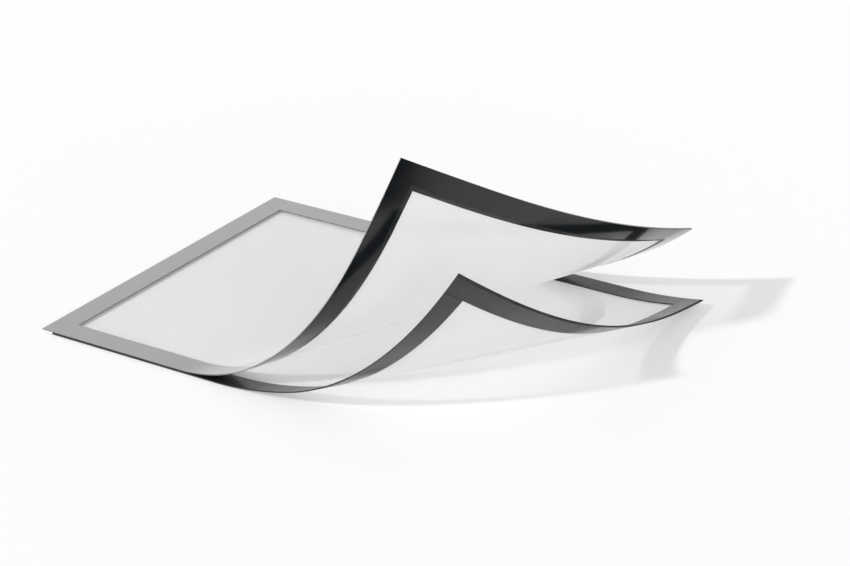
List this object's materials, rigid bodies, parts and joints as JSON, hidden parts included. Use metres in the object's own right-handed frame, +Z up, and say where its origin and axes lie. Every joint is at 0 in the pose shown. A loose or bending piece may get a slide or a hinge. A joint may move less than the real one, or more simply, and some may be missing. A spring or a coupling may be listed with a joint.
{
  "type": "magnetic display frame",
  "caption": "Flexible magnetic display frame, peeled open: a clear cover with a silver border and a clear back sheet, edged with magnetic strips and hinged along one short side.",
  "frame": {"origin": "on the table plane, in the middle of the flat rectangle of the back film, from the joined edge to where its bend starts on the near side", "axes": "+X from the joined short edge towards the free end, +Y from the near long side to the far one, +Z up from the table"},
  "size_m": [0.3228, 0.2411, 0.147],
  "materials": {
    "clear_film": "clear film, faintly milky",
    "back_magnet": "satin charcoal magnetic rubber",
    "cover_magnet": "glossy black magnetic rubber",
    "black_backing": "glossy black foil",
    "silver_face": "satin silver foil",
    "white_tape": "matte white foam tape"
  },
  "bodies": {
    "back_panel": {"back_film": "clear_film", "back_magnet_near": "back_magnet", "back_magnet_far": "back_magnet", "back_magnet_end": "back_magnet", "hinge_tape": "white_tape", "cover_margin_film": "clear_film", "cover_margin_backing": "black_backing", "cover_margin_face": "silver_face"},
    "cover": {"cover_film": "clear_film", "cover_border_backing": "black_backing", "cover_border_face": "silver_face", "cover_magnet_near": "cover_magnet", "cover_magnet_far": "cover_magnet", "cover_magnet_end": "cover_magnet"}
  },
  "joints": [
    {"name": "cover_hinge", "type": "hinge", "parent": "back_panel", "child": "cover", "pos_m": [-0.05635, 0, 0.00219], "axis": [0, -1, 0], "range_deg": [0, 145]}
  ]
}
